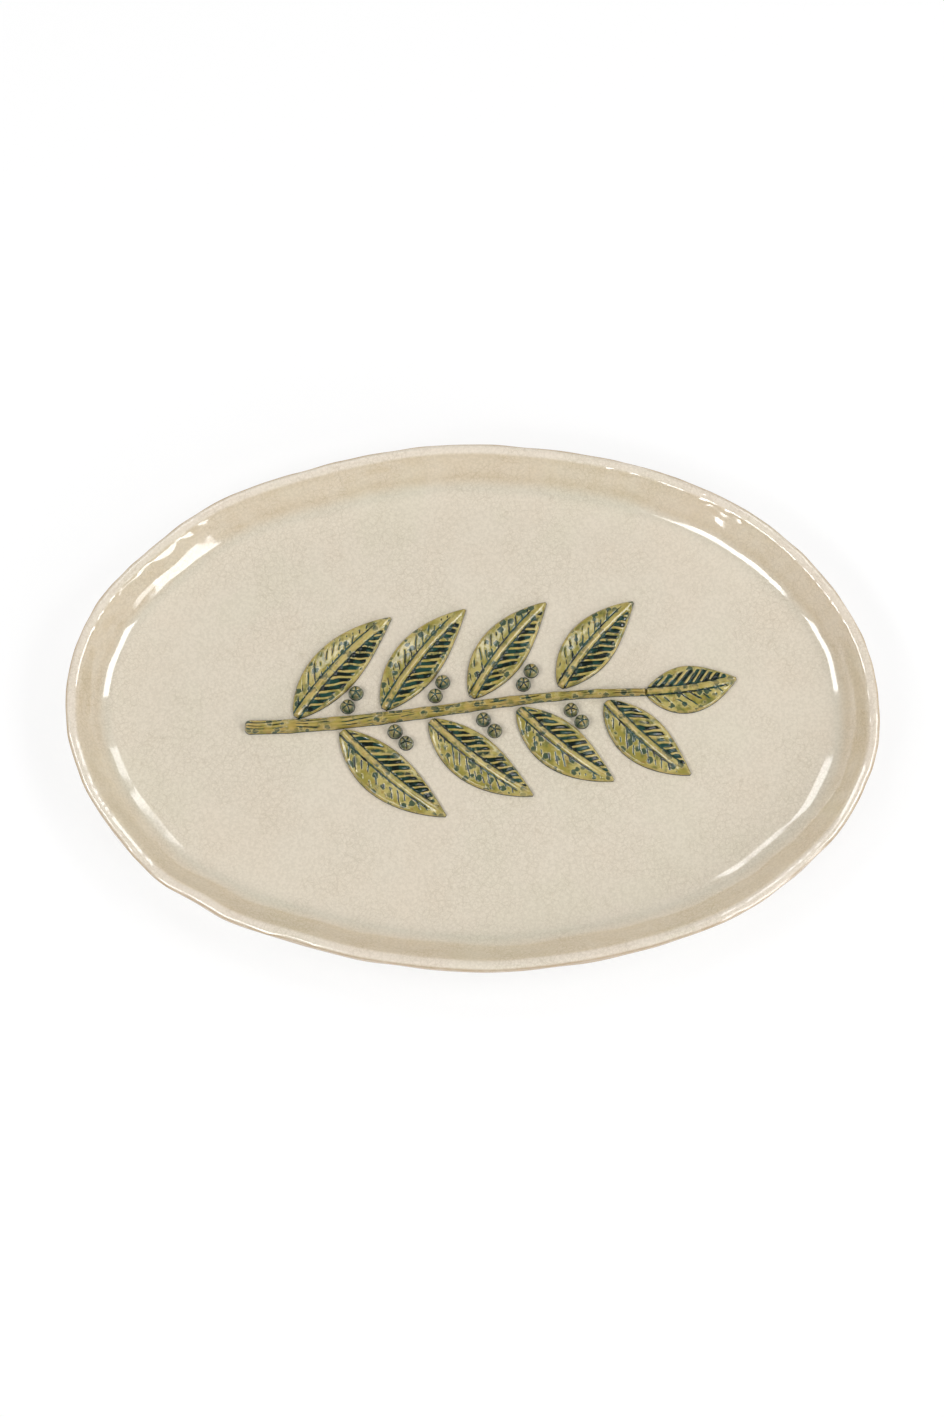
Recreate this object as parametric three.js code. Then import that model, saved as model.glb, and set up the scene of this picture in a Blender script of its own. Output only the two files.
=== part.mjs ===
// Oval serving platter of crackle-glazed stoneware, with a leafy branch in low relief on its floor.
// It is hand-built: a clay slab, a wall and a foot ring luted to it with slip, a coil of clay that is pressed
// into the corner between wall and floor, and a branch whose stem, leaves and berries are cut or rolled
// one by one and stuck to the floor the same way.
// Lengths are millimetres, +Z is up, +X runs along the platter, and the origin lies on the table
// under the platter's middle.
import * as THREE from "three";

// Platter sizes
const PLATTER_LENGTH = 400;
const PLATTER_WIDTH = 268;
const PLATTER_HEIGHT = 28;
const OVAL_FULLNESS = 2.08; // exponent of the oval, where 2 is a true ellipse
const SLIP_JOINT = 0.3; // gap that the slip fills between two luted pieces

// Slab and foot ring sizes
const SLAB_THICKNESS = 6;
const SLAB_EDGE_LEAN = 5; // how much further in the slab's lower edge lies
const FOOT_HEIGHT = 5;
const FOOT_WIDTH = 9;
const FOOT_INSET = 24; // from the platter's outer edge to the foot ring
const FOOT_ROUNDING = 1.5;

// Wall sizes
const LIP_WIDTH = 5;
const LIP_DEPTH = 5.5; // how far down the lip's outside is upright
const LIP_ROUNDING = 2;
const WALL_LEAN = 13; // how far the inner wall comes in between the lip and the floor
const WALL_SEAT_INSET = 12; // from the platter's outer edge to the wall's outer foot
const WALL_BELLY = 3; // how far the outside bulges from a straight slope
const COVE = 6; // how far the coil in the corner runs up the wall and out over the floor
const COVE_EDGE = 0.9; // thickness of the coil where it is smoothed into wall and floor
const RIM_SAG = 0.8; // how far the rim dips between its high places
const RIM_DIPS = 7;

// Branch sizes
const BRANCH_OFFSET = 10; // from the platter's middle to the branch's middle, along X
const STEM_WIDTH = 7;
const STEM_RELIEF = 4.5;
const STEM_TIP_WIDTH = 3.5;
const STEM_SWAY = 9; // the stem's rise to each side of the platter's long axis
const BARE_STEM = 22; // stem before its first leaf
const LEAF_PAIRS = 4;
const LEAF_LENGTH = 70;
const LEAF_SHRINK = 2; // how much shorter each next leaf is
const LEAF_WIDTH = 24;
const LEAF_TILT = 54; // degrees between the stem and a leaf
const LEAF_BEND = 18; // degrees that a leaf turns towards the stem's tip
const LEAF_STALK_WIDTH = 2.4;
const LEAF_WIDEST = 0.85; // under 1 moves a leaf's widest place towards its stalk
const LEAF_FULLNESS = 0.9; // under 1 fills out a leaf's outline
const LEAF_RELIEF = 3.8;
const LEAF_EDGE = 1.8; // thickness of a leaf at its margin
const LEAF_RIB = 0.9; // height of the midrib above the leaf
const END_LEAF_LENGTH = 46;
const BERRY_DIAMETER = 7;
const BERRY_RELIEF = 4.5;
const BERRY_ROOM = 1; // clear space on each side of a berry
const BERRIES_PER_GAP = 2;

// Facets
const OVAL_SEGMENTS = 84;
const PROFILE_DIVISIONS = 4;
const LEAF_STEPS = 12;
const LEAF_ROWS = 6;
const STEM_STEPS = 24;
const STEM_ROWS = 6;
const ROW_CROWDING = 1.6; // over 1 draws a strip's rows towards its middle
const BERRY_DIVISIONS = 2;
const BERRY_SEGMENTS = 12;

// Where the maker's thumbs pushed the rim out or in: degrees from +X, millimetres, and degrees of spread
const THUMB_MARKS = [
  { at: 28, out: -1.7, spread: 15 },
  { at: 67, out: 0.4, spread: 5 },
  { at: 92, out: 0.8, spread: 8 },
  { at: 114, out: -2.2, spread: 13 },
  { at: 144, out: -2.2, spread: 12 },
  { at: 175, out: 0.4, spread: 8 },
  { at: 194, out: -0.8, spread: 6 },
  { at: 208, out: -1.7, spread: 9 },
  { at: 221, out: 0.4, spread: 4 },
  { at: 229, out: -1.3, spread: 4 },
  { at: 245, out: -2.2, spread: 8 },
  { at: 258, out: -0.9, spread: 9 },
  { at: 273, out: 0.7, spread: 5 },
  { at: 310, out: 1.6, spread: 12 },
  { at: 334, out: 1.7, spread: 9 },
  { at: 350, out: 1.7, spread: 8 },
];

// Heights and half sizes that follow from the sizes above
const HALF_LENGTH = PLATTER_LENGTH / 2;
const HALF_WIDTH = PLATTER_WIDTH / 2;
const SLAB_UNDERSIDE = FOOT_HEIGHT;
const FLOOR = SLAB_UNDERSIDE + SLAB_THICKNESS;
const FLOOR_SEAT = FLOOR + SLIP_JOINT;
const lipFoot = PLATTER_HEIGHT - LIP_DEPTH;
const innerFoot = LIP_WIDTH + WALL_LEAN; // inset of the inner wall's foot

// Directions up the inner wall and out of it, as inset and height
const wallSlope = new THREE.Vector2(-WALL_LEAN, PLATTER_HEIGHT - FLOOR_SEAT).normalize();
const wallFace = new THREE.Vector2(wallSlope.y, -wallSlope.x);

// Glaze colours
const creamGlaze = new THREE.MeshStandardMaterial({ color: 0xdbd2c0, roughness: 0.15, metalness: 0 });
const bareClay = new THREE.MeshStandardMaterial({ color: 0xb08d68, roughness: 0.8, metalness: 0 });
const leafGlaze = new THREE.MeshStandardMaterial({ color: 0xa79e67, roughness: 0.2, metalness: 0 });
const stemGlaze = new THREE.MeshStandardMaterial({ color: 0xbdaa78, roughness: 0.2, metalness: 0 });
const berryGlaze = new THREE.MeshStandardMaterial({ color: 0x234b4b, roughness: 0.15, metalness: 0 });

// How far the rim is pushed out at an angle round the oval
function thumbPush(angle) {
  let push = 0;
  for (const mark of THUMB_MARKS) {
    const away = THREE.MathUtils.radToDeg(angle) - mark.at;
    const turned = THREE.MathUtils.euclideanModulo(away + 180, 360) - 180;
    push += mark.out * Math.exp(-((turned / mark.spread) ** 2));
  }
  return push;
}

// How far the wall dips at an angle round the oval, in full at the rim and not at all on the floor
function wallDip(angle, height) {
  const wave = 0.5 - 0.5 * Math.cos(RIM_DIPS * angle + Math.sin(2 * angle));
  return (RIM_SAG * wave * (height - FLOOR_SEAT)) / (PLATTER_HEIGHT - FLOOR_SEAT);
}

// Point of the oval at an angle, a given distance in from the platter's outer edge
function ovalPoint(inset, angle) {
  const power = 2 / OVAL_FULLNESS;
  const across = Math.cos(angle);
  const along = Math.sin(angle);
  const reach = thumbPush(angle) - inset;
  return new THREE.Vector2(
    (HALF_LENGTH + reach) * Math.sign(across) * Math.abs(across) ** power,
    (HALF_WIDTH + reach) * Math.sign(along) * Math.abs(along) ** power,
  );
}

// Moves every vertex of a geometry to where place(vertex) puts it
function reshape(geometry, place) {
  const positions = geometry.getAttribute("position");
  const vertex = new THREE.Vector3();
  for (let index = 0; index < positions.count; index += 1) {
    vertex.fromBufferAttribute(positions, index);
    place(vertex);
    positions.setXYZ(index, vertex.x, vertex.y, vertex.z);
  }
  geometry.computeVertexNormals();
  return geometry;
}

// Carries a profile of inset and height round the oval; a null inset is the platter's upright axis
function ovalSweep(profile, lower = () => 0) {
  const outline = profile.map(([inset, height]) => {
    const radius = inset === null ? 0 : HALF_LENGTH - inset;
    return new THREE.Vector2(radius, height);
  });
  return reshape(new THREE.LatheGeometry(outline, OVAL_SEGMENTS), (vertex) => {
    const radius = Math.hypot(vertex.x, vertex.z);
    const angle = Math.atan2(-vertex.z, vertex.x);
    const height = vertex.y - lower(angle, vertex.y);
    const point = radius === 0 ? new THREE.Vector2() : ovalPoint(HALF_LENGTH - radius, angle);
    vertex.set(point.x, point.y, height);
  });
}

// Points of a path of inset and height, as a profile to sweep
function profilePoints(path) {
  return path.getPoints(PROFILE_DIVISIONS).map((point) => [point.x, point.y]);
}

// Flat-bottomed strip of clay along a curve on the floor, from u = 0 to 1, with v from -1 to 1 across it
function floorStrip(curve, steps, rows, halfWidth, relief) {
  const geometry = new THREE.BoxGeometry(1, 1, 1, steps, rows, 1);
  return reshape(geometry, (vertex) => {
    const u = vertex.x + 0.5;
    const spread = 2 * vertex.y;
    const v = Math.sign(spread) * Math.abs(spread) ** ROW_CROWDING;
    const height = vertex.z > 0 ? relief(u, v) : 0;
    const point = curve.getPointAt(u);
    const tangent = curve.getTangentAt(u);
    const side = v * halfWidth(u);
    vertex.set(point.x - tangent.y * side, point.y + tangent.x * side, FLOOR_SEAT + height);
  });
}

// Foot ring: a flat-bottomed coil with rounded edges under the slab
function footRing() {
  const inner = FOOT_INSET + FOOT_WIDTH;
  const top = SLAB_UNDERSIDE - SLIP_JOINT;
  return ovalSweep([
    [FOOT_INSET + FOOT_ROUNDING, 0],
    [FOOT_INSET, FOOT_ROUNDING],
    [FOOT_INSET, top],
    [inner, top],
    [inner, FOOT_ROUNDING],
    [inner - FOOT_ROUNDING, 0],
    [FOOT_INSET + FOOT_ROUNDING, 0],
  ]);
}

// Well slab: the rolled clay floor, whose edge leans in under the wall
function wellSlab() {
  return ovalSweep([
    [null, SLAB_UNDERSIDE],
    [WALL_SEAT_INSET + SLAB_EDGE_LEAN, SLAB_UNDERSIDE],
    [WALL_SEAT_INSET, FLOOR],
    [null, FLOOR],
  ]);
}

// Rim wall: up the bellied outside and the lip's upright side, over its flat top and down the inner slope
function rimWall() {
  const innerEdge = new THREE.Vector2(LIP_WIDTH, PLATTER_HEIGHT);
  const slopeTop = innerEdge.clone().addScaledVector(wallSlope, -LIP_ROUNDING);
  const path = new THREE.Path();
  path.moveTo(WALL_SEAT_INSET, FLOOR_SEAT);
  path.quadraticCurveTo(WALL_SEAT_INSET / 2 - WALL_BELLY / 2, (FLOOR + lipFoot) / 2 - WALL_BELLY, 0, lipFoot);
  path.lineTo(0, PLATTER_HEIGHT - LIP_ROUNDING);
  path.quadraticCurveTo(0, PLATTER_HEIGHT, LIP_ROUNDING, PLATTER_HEIGHT);
  path.lineTo(LIP_WIDTH - LIP_ROUNDING, PLATTER_HEIGHT);
  path.quadraticCurveTo(innerEdge.x, innerEdge.y, slopeTop.x, slopeTop.y);
  path.lineTo(innerFoot, FLOOR_SEAT);
  path.lineTo(WALL_SEAT_INSET, FLOOR_SEAT);
  return ovalSweep(profilePoints(path), wallDip);
}

// Cove coil: a three-cornered coil in the inside corner, with a hollow face towards the well
function coveCoil() {
  const corner = new THREE.Vector2(innerFoot + SLIP_JOINT / wallFace.x, FLOOR_SEAT);
  const wallTop = corner.clone().addScaledVector(wallSlope, COVE);
  const wallEdge = wallTop.clone().addScaledVector(wallFace, COVE_EDGE);
  const hollow = corner.clone().addScaledVector(wallFace, COVE_EDGE);
  const path = new THREE.Path();
  path.moveTo(corner.x, corner.y);
  path.lineTo(wallTop.x, wallTop.y);
  path.lineTo(wallEdge.x, wallEdge.y);
  path.quadraticCurveTo(hollow.x, hollow.y, corner.x + COVE, FLOOR_SEAT + COVE_EDGE);
  path.lineTo(corner.x + COVE, FLOOR_SEAT);
  path.lineTo(corner.x, corner.y);
  return ovalSweep(profilePoints(path), wallDip);
}

// Branch layout: leaves alternate along the stem, spaced so that berries fit between them on each side
const tilt = THREE.MathUtils.degToRad(LEAF_TILT);
const bend = THREE.MathUtils.degToRad(LEAF_BEND);
const leafBow = (LEAF_LENGTH / 8) * Math.sin(bend); // how far a leaf's middle bows towards the next leaf
const sideStep = (LEAF_WIDTH + leafBow + BERRY_DIAMETER + 2 * BERRY_ROOM) / Math.sin(tilt);
const leafStep = sideStep / 2;
const sideLeaves = 2 * LEAF_PAIRS;
const stemLength = BARE_STEM + sideLeaves * leafStep;
const stemStart = BRANCH_OFFSET - (stemLength + END_LEAF_LENGTH) / 2;

// The stem's line: a long, shallow S that climbs from the left end to the right
class StemLine extends THREE.Curve {
  getPoint(t, target = new THREE.Vector3()) {
    return target.set(stemStart + t * stemLength, -STEM_SWAY * Math.cos(Math.PI * t), 0);
  }
}
const stemLine = new StemLine();

// Place on the stem a given distance from its cut end, and the stem's heading there
function onStem(distance) {
  const u = Math.min(distance / stemLine.getLength(), 1);
  const tangent = stemLine.getTangentAt(u);
  return { point: stemLine.getPointAt(u), heading: Math.atan2(tangent.y, tangent.x) };
}

// Point a given distance from another, along a heading
function step(from, heading, distance) {
  return new THREE.Vector3(from.x + distance * Math.cos(heading), from.y + distance * Math.sin(heading), 0);
}

// Stem: a half-round coil that tapers to the branch's tip
function stem() {
  const halfWidth = (u) => THREE.MathUtils.lerp(STEM_WIDTH, STEM_TIP_WIDTH, u) / 2;
  const relief = (u, v) => LEAF_EDGE + (STEM_RELIEF - LEAF_EDGE) * Math.sqrt(1 - v * v);
  return floorStrip(stemLine, STEM_STEPS, STEM_ROWS, halfWidth, relief);
}

// Leaf: a pointed blade with a midrib, thick along its middle and thin at its margin
function leaf(base, heading, length, turn) {
  const middle = step(base, heading, length / 2);
  const tip = step(middle, heading - turn, length / 2);
  const line = new THREE.QuadraticBezierCurve3(base, middle, tip);
  const swell = (u) => Math.sin(Math.PI * u ** LEAF_WIDEST) ** LEAF_FULLNESS;
  const stalk = LEAF_STALK_WIDTH / 2;
  const halfWidth = (u) => stalk + (LEAF_WIDTH / 2 - stalk) * swell(u);
  const relief = (u, v) => {
    const dome = (LEAF_RELIEF - LEAF_EDGE) * (1 - v * v) * Math.sqrt(swell(u));
    const rib = v === 0 ? LEAF_RIB * (1 - u) : 0;
    return LEAF_EDGE + dome + rib;
  };
  return floorStrip(line, LEAF_STEPS, LEAF_ROWS, halfWidth, relief);
}

// Berry: a ball of clay pressed down to a dome
function berry(centre) {
  const dome = new THREE.Path();
  dome.moveTo(0, 0);
  dome.lineTo(BERRY_DIAMETER / 2, 0);
  dome.absellipse(0, 0, BERRY_DIAMETER / 2, BERRY_RELIEF, 0, Math.PI / 2, false, 0);
  const geometry = new THREE.LatheGeometry(dome.getPoints(BERRY_DIVISIONS), BERRY_SEGMENTS);
  return geometry.rotateX(Math.PI / 2).translate(centre.x, centre.y, FLOOR_SEAT);
}

// Assembly
const platter = new THREE.Group();

function addPiece(name, geometry, material) {
  const mesh = new THREE.Mesh(geometry, material);
  mesh.name = name;
  platter.add(mesh);
}

addPiece("foot_ring", footRing(), bareClay);
addPiece("well_slab", wellSlab(), creamGlaze);
addPiece("rim_wall", rimWall(), creamGlaze);
addPiece("cove_coil", coveCoil(), creamGlaze);
addPiece("stem", stem(), stemGlaze);

const stalkSeat = (STEM_WIDTH / 2 + SLIP_JOINT + (LEAF_STALK_WIDTH / 2) * Math.cos(tilt)) / Math.sin(tilt);
for (let index = 0; index < sideLeaves; index += 1) {
  const side = index % 2 === 0 ? 1 : -1;
  const place = onStem(BARE_STEM + index * leafStep);
  const heading = place.heading + side * tilt;
  const base = step(place.point, heading, stalkSeat);
  const length = LEAF_LENGTH - index * LEAF_SHRINK;
  addPiece(`leaf_${index + 1}`, leaf(base, heading, length, side * bend), leafGlaze);
}

const stemTip = onStem(stemLine.getLength());
const endLeafBase = step(stemTip.point, stemTip.heading, SLIP_JOINT);
addPiece("end_leaf", leaf(endLeafBase, stemTip.heading, END_LEAF_LENGTH, -bend), leafGlaze);

const berryLine = LEAF_WIDTH / 2 + leafBow + BERRY_ROOM + BERRY_DIAMETER / 2;
const berryStep = BERRY_DIAMETER + BERRY_ROOM;
for (let gap = 0; gap < sideLeaves - 2; gap += 1) {
  const side = gap % 2 === 0 ? 1 : -1;
  const place = onStem(BARE_STEM + gap * leafStep + berryLine / Math.sin(tilt));
  for (let row = 0; row < BERRIES_PER_GAP; row += 1) {
    const out = stalkSeat + berryStep * (row + 0.5);
    const centre = step(place.point, place.heading + side * tilt, out);
    addPiece(`berry_${gap + 1}_${row + 1}`, berry(centre), berryGlaze);
  }
}

export default platter;
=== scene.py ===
# Looks of an oval serving plate: crackle-glazed stoneware with a leafy branch in relief on its floor.
import math
from bisect import bisect_right

import bmesh
import bpy
from mathutils import Matrix, Quaternion, Vector, noise


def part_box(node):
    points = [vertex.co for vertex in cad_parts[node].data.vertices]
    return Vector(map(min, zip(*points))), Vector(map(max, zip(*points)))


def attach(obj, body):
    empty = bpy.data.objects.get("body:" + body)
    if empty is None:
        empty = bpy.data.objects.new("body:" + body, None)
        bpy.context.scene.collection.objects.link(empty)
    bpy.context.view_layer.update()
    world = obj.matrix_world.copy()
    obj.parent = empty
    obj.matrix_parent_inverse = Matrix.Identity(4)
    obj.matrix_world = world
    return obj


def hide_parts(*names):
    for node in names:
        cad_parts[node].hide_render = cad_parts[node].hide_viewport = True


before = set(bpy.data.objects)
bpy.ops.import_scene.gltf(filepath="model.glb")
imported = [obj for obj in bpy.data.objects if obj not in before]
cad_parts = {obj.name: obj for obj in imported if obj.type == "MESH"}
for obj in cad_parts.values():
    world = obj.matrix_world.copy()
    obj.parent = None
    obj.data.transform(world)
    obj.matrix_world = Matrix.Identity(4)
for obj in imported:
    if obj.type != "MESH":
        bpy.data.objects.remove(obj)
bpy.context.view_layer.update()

# Plate body
# The well slab, the wall with its lip and the coil pressed into the inside corner, smoothed into one skin.
# It is stoneware under a clear, crackled cream glaze, which pools tan on the wall and runs thin on the lip,
# where the brown clay shows along the outer edge, with painted shade darkening that band down the lip's
# outer side. The lip is pinched by hand, so it is never quite even.
MM = 0.001

# Where thumbs pushed the rim out or in: degrees from +X, distance, degrees of spread
THUMB_MARKS = [
    (28, -1.7 * MM, 15),
    (67, 0.4 * MM, 5),
    (92, 0.8 * MM, 8),
    (114, -2.2 * MM, 13),
    (144, -2.2 * MM, 12),
    (175, 0.4 * MM, 8),
    (194, -0.8 * MM, 6),
    (208, -1.7 * MM, 9),
    (221, 0.4 * MM, 4),
    (229, -1.3 * MM, 4),
    (245, -2.2 * MM, 8),
    (258, -0.9 * MM, 9),
    (273, 0.7 * MM, 5),
    (310, 1.6 * MM, 12),
    (334, 1.7 * MM, 9),
    (350, 1.7 * MM, 8),
]


def thumb_push(angle):
    """How far the rim is pushed out at an angle round the oval."""
    push = 0
    for at, out, spread in THUMB_MARKS:
        away = (math.degrees(angle) - at + 180) % 360 - 180
        push += out * math.exp(-((away / spread) ** 2))
    return push


# An inset is a distance in from the plate's outer edge
rim_low, rim_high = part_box("rim_wall")
slab_low, slab_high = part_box("well_slab")
HALF_LENGTH = -rim_low.x - thumb_push(math.pi)
HALF_WIDTH = rim_high.y - thumb_push(math.pi / 2)
OVAL_FULLNESS = 2.08  # exponent of the oval, where 2 is a true ellipse
RIM_TOP = rim_high.z
RIM_SAG = 0.8 * MM
RIM_DIPS = 7
UNDERSIDE = slab_low.z
GLAZE_COAT = 0.2 * MM
FLOOR = slab_high.z + GLAZE_COAT
LIP_WIDTH = 5 * MM
EDGE_TRIM = 0.2 * MM  # keeps the skin just inside the solid
LIP_FOOT = RIM_TOP - 5.5 * MM  # the lip's outside is upright above this, and the wall leans in below it
LIP_FOOT_ROUNDING = 2 * MM
LIP_EDGE = RIM_TOP - 0.75 * MM
LIP_EDGE_ROUNDING = 0.6 * MM
CROWN_INSET = 2.5 * MM  # the lip's outer and inner slopes would meet here if its crown were not rounded
CROWN_HEIGHT = RIM_TOP + 0.25 * MM
CROWN_ROUNDING = 1.6 * MM
LIP_FALL = 0.9 * MM  # so far below the rim's top the lip's inner slope meets the wall
LIP_INNER_ROUNDING = 1.2 * MM
SLAB_EDGE = 17 * MM  # inset of the slab's lower edge
SLAB_EDGE_ROUNDING = 2 * MM
WAIST = 12 * MM  # inset where the wall stands on the slab
WAIST_ROUNDING = 3 * MM
BELLY = 4.5 * MM  # inset of the wall's fullest place outside
BELLY_HEIGHT = 13.8 * MM
BELLY_ROUNDING = 4.4 * MM
WALL_FOOT = 18.2 * MM  # inset where the inner wall meets the floor
COVE_REACH = 11 * MM
FLOOR_RING = 34 * MM  # from this inset inwards the oval shrinks towards the middle

# Hand marks, with the heights or insets over which each kind fades in or out
LIP_RISE = (RIM_TOP - 6 * MM, RIM_TOP - 2 * MM)
WALL_RISE = (FLOOR + 0.5 * MM, FLOOR + 9 * MM)
LIP_SCALLOP = 0.45 * MM  # on the lip's outer side
LIP_SCALLOP_SPACING = 15 * MM
SCALLOP_FADE = (2.5 * MM, 0.5 * MM)
PINCHES = 66  # finger marks along the lip's inner edge
PINCH_DEPTH = 0.4 * MM
PINCH_START = (2 * MM, 4 * MM)
PINCH_END = (7.5 * MM, 5.5 * MM)
PINCH_DRIFT = 35 * MM  # over this distance the fingers fall out of step
PINCH_STRAY = 4  # radians that they stray by
FRONT_PINCH = 0.25  # at the ends and along the front the pinches have only this share of their depth
PINCH_FIRMING = (0.0, 0.45)  # shares of the way to the back over which they get their full depth
WALL_DENT = 0.6 * MM
WALL_DENT_SPACING = 22 * MM
FLOOR_DENT = 0.14 * MM
FLOOR_DENT_SPACING = 30 * MM

BOW_STEPS = 8
SPIN_DOUBLINGS = 4
BODY_STEPS = 720
BODY_EDGE = 2.2 * MM
MOST_CUTS = 16  # for the flat stretches
MERGE_DISTANCE = 0.001 * MM


def smooth_share(low, high, value):
    """0 below low, 1 above high and a smooth rise between; low may be the larger one."""
    share = min(max((value - low) / (high - low), 0.0), 1.0)
    return share * share * (3 - 2 * share)


def rounded_line(corners):
    """Points along corners of (distance, height, reach), where the distance is an inset or a radius.
    Each corner is bowed from its reach before it to its reach after it."""
    points = [Vector(corners[0][:2])]
    for before, corner, after in zip(corners, corners[1:], corners[2:]):
        here = Vector(corner[:2])
        start = here + (Vector(before[:2]) - here).normalized() * corner[2]
        end = here + (Vector(after[:2]) - here).normalized() * corner[2]
        for step in range(BOW_STEPS + 1):
            share = step / BOW_STEPS
            points.append(start.lerp(here, share).lerp(here.lerp(end, share), share))
    points.append(Vector(corners[-1][:2]))
    return points


def spin_line(points, longest_edge, steps):
    """Closed mesh from points of (radius, height) spun about Z, with long edges of the line cut up first.
    One sector is spun and then doubled until the round is full, which is much quicker than one full spin."""
    mesh = bmesh.new()
    verts = [mesh.verts.new((point.x, 0, point.y)) for point in points]
    edges = [mesh.edges.new(pair) for pair in zip(verts, verts[1:])]
    for edge in edges:
        cuts = min(int(edge.calc_length() / longest_edge), MOST_CUTS)
        if cuts:
            bmesh.ops.subdivide_edges(mesh, edges=[edge], cuts=cuts)
    sector = 2 * math.pi / 2**SPIN_DOUBLINGS
    line = mesh.verts[:] + mesh.edges[:]
    sector_steps = steps // 2**SPIN_DOUBLINGS
    bmesh.ops.spin(mesh, geom=line, axis=(0, 0, 1), cent=(0, 0, 0), angle=sector, steps=sector_steps)
    for doubling in range(SPIN_DOUBLINGS):
        copied = bmesh.ops.duplicate(mesh, geom=mesh.verts[:] + mesh.edges[:] + mesh.faces[:])["geom"]
        turned = [part for part in copied if isinstance(part, bmesh.types.BMVert)]
        turn = Matrix.Rotation(sector * 2**doubling, 3, "Z")
        bmesh.ops.rotate(mesh, verts=turned, cent=(0, 0, 0), matrix=turn)
    bmesh.ops.remove_doubles(mesh, verts=mesh.verts, dist=MERGE_DISTANCE)
    bmesh.ops.recalc_face_normals(mesh, faces=mesh.faces)
    if mesh.calc_volume(signed=True) < 0:
        bmesh.ops.reverse_faces(mesh, faces=mesh.faces)
    return mesh


def oval_point(inset, angle):
    """Point of the oval at an angle, a given distance in from the plate's outer edge."""
    power = 2 / OVAL_FULLNESS
    ring = min(inset, FLOOR_RING)
    shrink = (HALF_LENGTH - inset) / (HALF_LENGTH - ring)
    reach = thumb_push(angle) - ring
    across = math.copysign(abs(math.cos(angle)) ** power, math.cos(angle))
    along = math.copysign(abs(math.sin(angle)) ** power, math.sin(angle))
    return (HALF_LENGTH + reach) * across * shrink, (HALF_WIDTH + reach) * along * shrink


def carry_round_oval(mesh):
    """Turn a round, spun mesh into the plate's oval, with the rim's dips between its high places."""
    for vert in mesh.verts:
        angle = math.atan2(vert.co.y, vert.co.x)
        wave = 0.5 - 0.5 * math.cos(RIM_DIPS * angle + math.sin(2 * angle))
        dip = RIM_SAG * wave * max(0, vert.co.z - FLOOR) / (RIM_TOP - FLOOR)
        x, y = oval_point(HALF_LENGTH - math.hypot(vert.co.x, vert.co.y), angle)
        vert.co = (x, y, vert.co.z - dip)


def press_dents(mesh, depth_at):
    """Press the skin in along its normals by the depth that depth_at gives for each place."""
    mesh.normal_update()
    for vert in mesh.verts:
        vert.co -= vert.normal * depth_at(vert.co)


def unevenness(place, spacing):
    """Smooth noise about 0, mostly between -0.5 and 0.5, with hollows about two spacings apart."""
    return noise.noise(place / spacing)


def body_dent(place):
    """Depth of the dents on the body while it is still round: scallops outside the lip, finger pinches
    along its inner edge, soft dents on the wall and slow waves on the floor."""
    inset = HALF_LENGTH - math.hypot(place.x, place.y)
    lip = smooth_share(*LIP_RISE, place.z)
    wall = smooth_share(*WALL_RISE, place.z)
    outer_side = lip * smooth_share(*SCALLOP_FADE, inset)
    inner_edge = lip * smooth_share(*PINCH_START, inset) * smooth_share(*PINCH_END, inset)
    drift = unevenness(place, PINCH_DRIFT)
    fingers = 0.5 + 0.5 * math.sin(PINCHES * math.atan2(place.y, place.x) + PINCH_STRAY * drift)
    firmness = FRONT_PINCH + (1 - FRONT_PINCH) * smooth_share(*PINCH_FIRMING, place.y / HALF_LENGTH)
    pinch = PINCH_DEPTH * firmness * fingers * (1 + drift) * inner_edge
    scallop = LIP_SCALLOP * (0.5 + unevenness(place, LIP_SCALLOP_SPACING)) * outer_side
    dent = WALL_DENT * unevenness(place, WALL_DENT_SPACING) * wall * (1 - lip)
    wave = FLOOR_DENT * unevenness(place, FLOOR_DENT_SPACING) * (1 - wall)
    return pinch + scallop + dent + wave


# The glaze, with the heights or insets over which its colours change
GLAZE_IOR = 1.75
WALL_TAN_RISE = (FLOOR + 1.7 * MM, FLOOR + 5.8 * MM)
CREASE_RISE = (FLOOR + 0.55 * MM, FLOOR + 2.2 * MM)
UPPER_RISE = (LIP_FOOT - 3 * MM, LIP_FOOT)
# Insets over which bare brown clay and painted shade darken the lip's outer side
CLAY_AND_SHADE_FADE = (1.75 * MM, 0.2 * MM)
LIP_PALE_FADE = (LIP_WIDTH + 1.2 * MM, LIP_WIDTH - 0.4 * MM)
BLOTCH_SIZE = 14 * MM
RUN_WIDTH = 0.035  # of the glaze's runs down the wall, in radians round the plate
STROKE_SIZE = 0.25  # of brush strokes, in a space of STROKE_TURN to a radian and STROKE_CLIMB to a metre
STROKE_TURN = 4
STROKE_CLIMB = 60
TINT_SIZE = 38 * MM
GRAIN_SIZE = 1.3 * MM
BREAK_SIZE = 7 * MM
GLOSS_SIZE = 5 * MM
RIPPLE_SIZE = 6 * MM
RIPPLE_DEPTH = 0.06 * MM
RIPPLE_STRENGTH = 0.25
COARSE_CRACKLE = 3.6 * MM
COARSE_LINE = 0.22 * MM
FINE_CRACKLE = 1.7 * MM
FINE_LINE = 0.2 * MM
FINE_STRENGTH = 0.6
CRACKLE_BEND = 0.6  # how far the lines wander, as a share of a cell
CRACKLE_PATCH = 24 * MM


def add_node(tree, kind, inputs, **settings):
    """New shader node; each input is a plain value or another node's output."""
    node = tree.nodes.new("ShaderNode" + kind)
    for name, value in settings.items():
        setattr(node, name, value)
    for socket, value in inputs.items():
        if isinstance(value, bpy.types.NodeSocket):
            tree.links.new(value, node.inputs[socket])
        else:
            node.inputs[socket].default_value = value
    return node


def mix_colours(tree, share, first, second, blend="MIX"):
    """Colour between two colours or colour outputs."""
    inputs = {0: share}
    for socket, colour in ((6, first), (7, second)):
        inputs[socket] = colour if isinstance(colour, bpy.types.NodeSocket) else (*colour, 1)
    return add_node(tree, "Mix", inputs, data_type="RGBA", blend_type=blend).outputs[2]


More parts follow.
